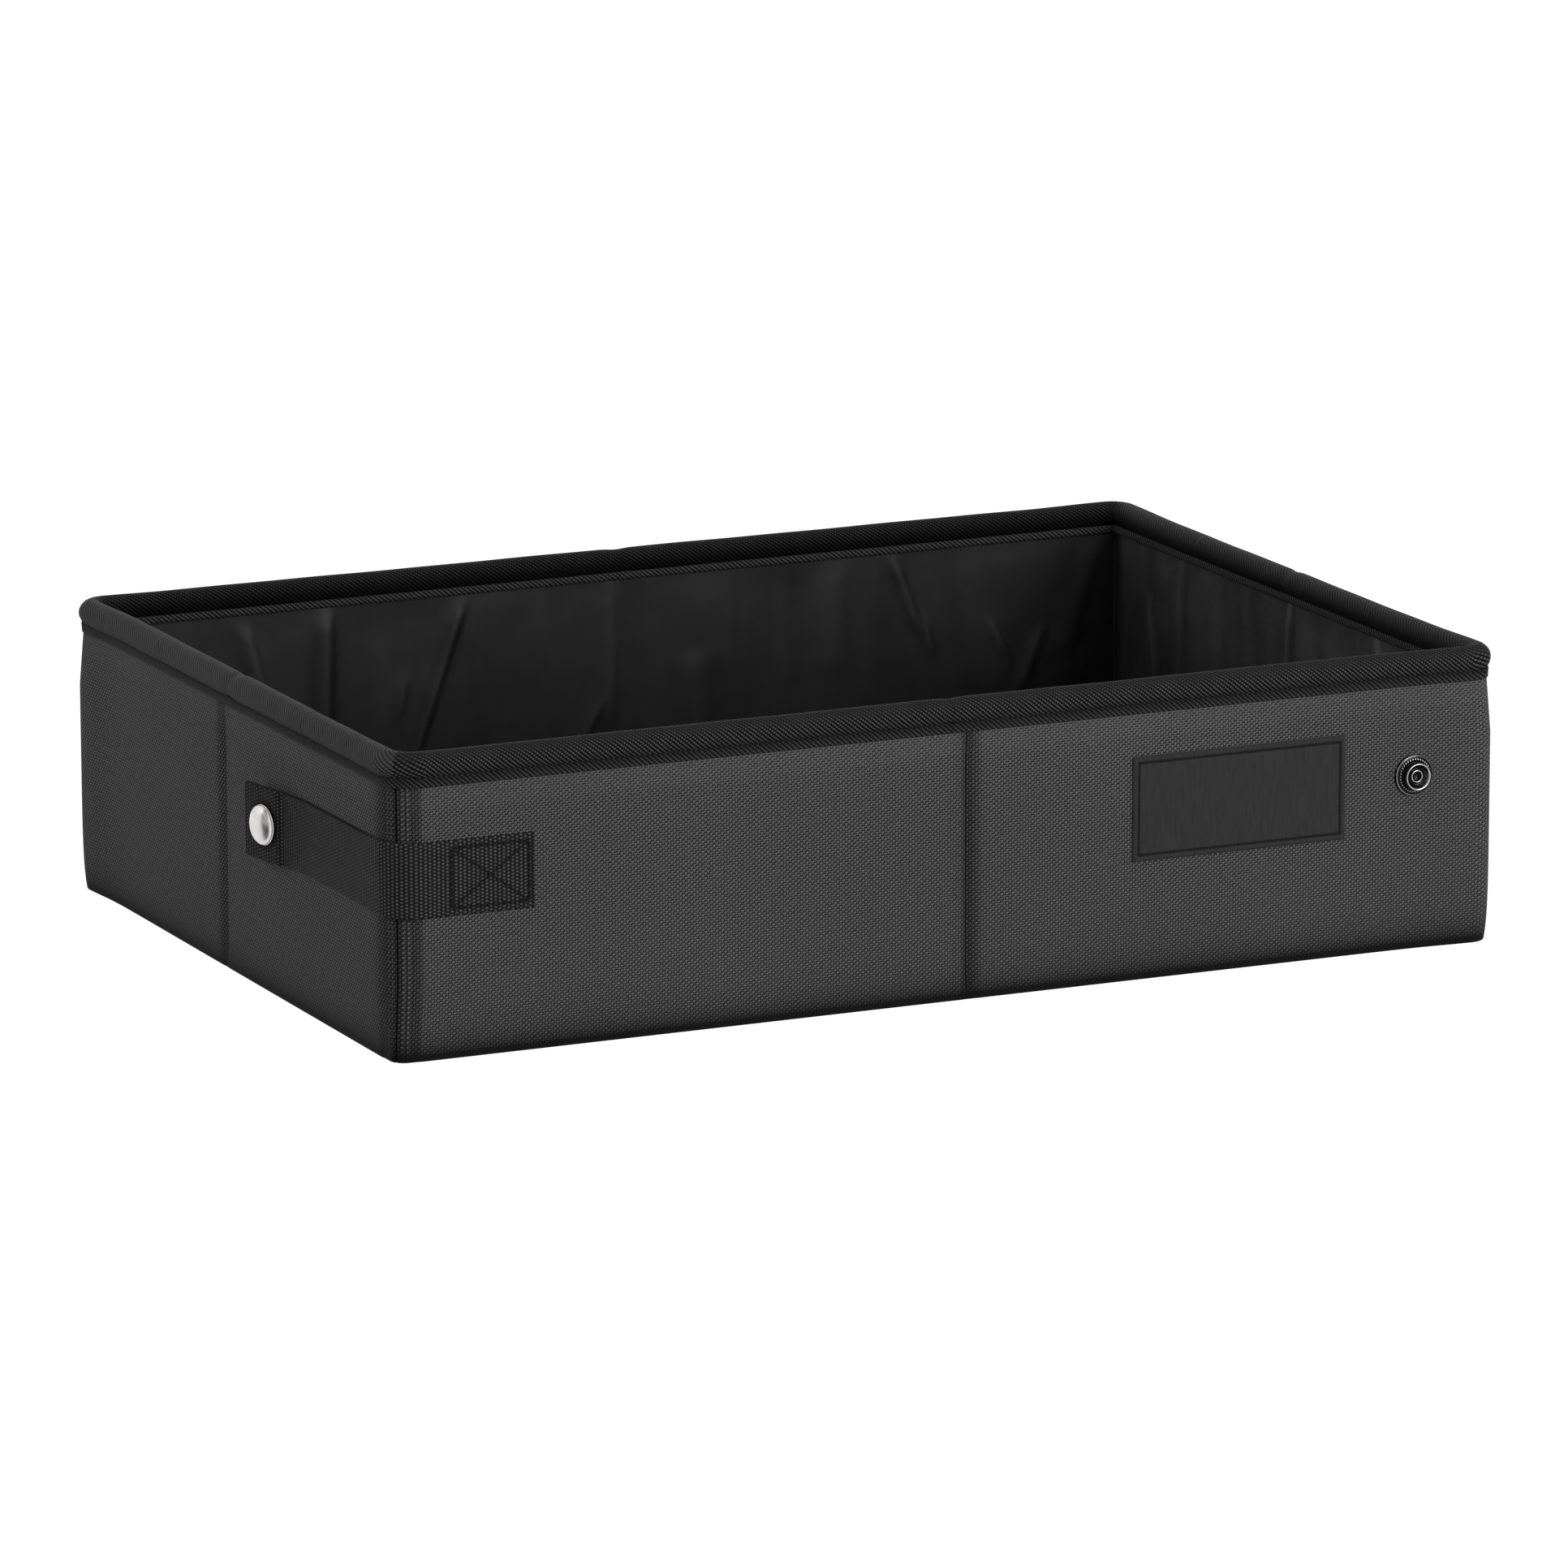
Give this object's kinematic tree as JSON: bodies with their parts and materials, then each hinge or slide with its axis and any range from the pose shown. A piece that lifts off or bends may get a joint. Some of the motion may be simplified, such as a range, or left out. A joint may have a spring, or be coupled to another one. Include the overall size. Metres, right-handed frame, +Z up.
{
  "type": "foldable litter box",
  "caption": "Shallow rectangular fabric tray with board-stiffened walls, a padded rim, side walls that fold inwards in half and a snap strap at one corner.",
  "frame": {"origin": "centre of the underside of the opened box, on the surface it stands on", "axes": "+X to the right along the long walls, +Y from the front wall to the back wall, +Z up"},
  "size_m": [0.4106, 0.2818, 0.102],
  "materials": {
    "outer_cloth": "coated oxford weave",
    "liner_cloth": "smooth waterproof coating",
    "rim_cloth": "bias weave tube",
    "binding_tape": "ribbed tape",
    "patch_cloth": "smooth tight weave",
    "webbing": "woven webbing",
    "board": "plain sheet",
    "foam": "closed-cell foam",
    "dark_metal": "dark nickel",
    "bright_metal": "bright nickel"
  },
  "bodies": {
    "base_and_back": {"base_cloth": "outer_cloth", "base_pad": "foam", "base_liner": "liner_cloth", "back_cloth": "outer_cloth", "back_liner": "liner_cloth", "back_binding": "binding_tape", "back_rim": "rim_cloth", "back_rim_core": "foam", "back_left_board": "board", "back_right_board": "board", "back_left_corner_seam": "outer_cloth", "back_right_corner_seam": "outer_cloth"},
    "left_rear_panel": {"left_rear_cloth": "outer_cloth", "left_rear_liner": "liner_cloth", "left_rear_binding": "binding_tape", "left_rear_rim": "rim_cloth", "left_rear_rim_core": "foam", "left_rear_board": "board"},
    "left_front_panel": {"left_front_cloth": "outer_cloth", "left_front_liner": "liner_cloth", "left_front_binding": "binding_tape", "left_front_rim": "rim_cloth", "left_front_rim_core": "foam", "left_front_board": "board", "side_stud": "dark_metal"},
    "right_rear_panel": {"right_rear_cloth": "outer_cloth", "right_rear_liner": "liner_cloth", "right_rear_binding": "binding_tape", "right_rear_rim": "rim_cloth", "right_rear_rim_core": "foam", "right_rear_board": "board"},
    "right_front_panel": {"right_front_cloth": "outer_cloth", "right_front_liner": "liner_cloth", "right_front_binding": "binding_tape", "right_front_rim": "rim_cloth", "right_front_rim_core": "foam", "right_front_board": "board"},
    "front_left_wall": {"front_left_cloth": "outer_cloth", "front_left_liner": "liner_cloth", "front_left_binding": "binding_tape", "front_left_rim": "rim_cloth", "front_left_rim_core": "foam", "front_left_board": "board", "front_left_corner_seam": "outer_cloth", "strap_anchor": "webbing"},
    "front_right_wall": {"front_right_cloth": "outer_cloth", "front_right_liner": "liner_cloth", "front_right_binding": "binding_tape", "front_right_rim": "rim_cloth", "front_right_rim_core": "foam", "front_right_board": "board", "front_right_corner_seam": "outer_cloth", "label_patch": "patch_cloth", "front_stud": "dark_metal"},
    "strap_flap": {"strap_flap": "webbing", "snap_cap": "bright_metal", "snap_socket": "dark_metal"}
  },
  "joints": [
    {"name": "left_rear_corner_fold", "type": "hinge", "parent": "base_and_back", "child": "left_rear_panel", "pos_m": [-0.19265, 0.13065, 0.05], "axis": [0, 0, 1], "range_deg": [0, 88]},
    {"name": "left_crease_fold", "type": "hinge", "parent": "left_rear_panel", "child": "left_front_panel", "pos_m": [-0.203, 0, 0.05], "axis": [0, 0, 1], "range_deg": [-176, 0]},
    {"name": "left_front_corner_fold", "type": "hinge", "parent": "left_front_panel", "child": "front_left_wall", "pos_m": [-0.19265, -0.13065, 0.05], "axis": [0, 0, 1], "range_deg": [0, 88]},
    {"name": "right_rear_corner_fold", "type": "hinge", "parent": "base_and_back", "child": "right_rear_panel", "pos_m": [0.19265, 0.13065, 0.05], "axis": [0, 0, 1], "range_deg": [-88, 0]},
    {"name": "right_crease_fold", "type": "hinge", "parent": "right_rear_panel", "child": "right_front_panel", "pos_m": [0.203, 0, 0.05], "axis": [0, 0, 1], "range_deg": [0, 176]},
    {"name": "right_front_corner_fold", "type": "hinge", "parent": "right_front_panel", "child": "front_right_wall", "pos_m": [0.19265, -0.13065, 0.05], "axis": [0, 0, 1], "range_deg": [-88, 0]},
    {"name": "strap_swing", "type": "hinge", "parent": "front_left_wall", "child": "strap_flap", "pos_m": [-0.2016, -0.1306, 0.06], "axis": [0, 0, 1], "range_deg": [0, 170]}
  ],
  "couplings": [
    {"joint": "left_crease_fold", "follows": "left_rear_corner_fold", "ratio": -2},
    {"joint": "left_front_corner_fold", "follows": "left_rear_corner_fold", "ratio": 1},
    {"joint": "right_rear_corner_fold", "follows": "left_rear_corner_fold", "ratio": -1},
    {"joint": "right_crease_fold", "follows": "left_rear_corner_fold", "ratio": 2},
    {"joint": "right_front_corner_fold", "follows": "left_rear_corner_fold", "ratio": -1}
  ]
}
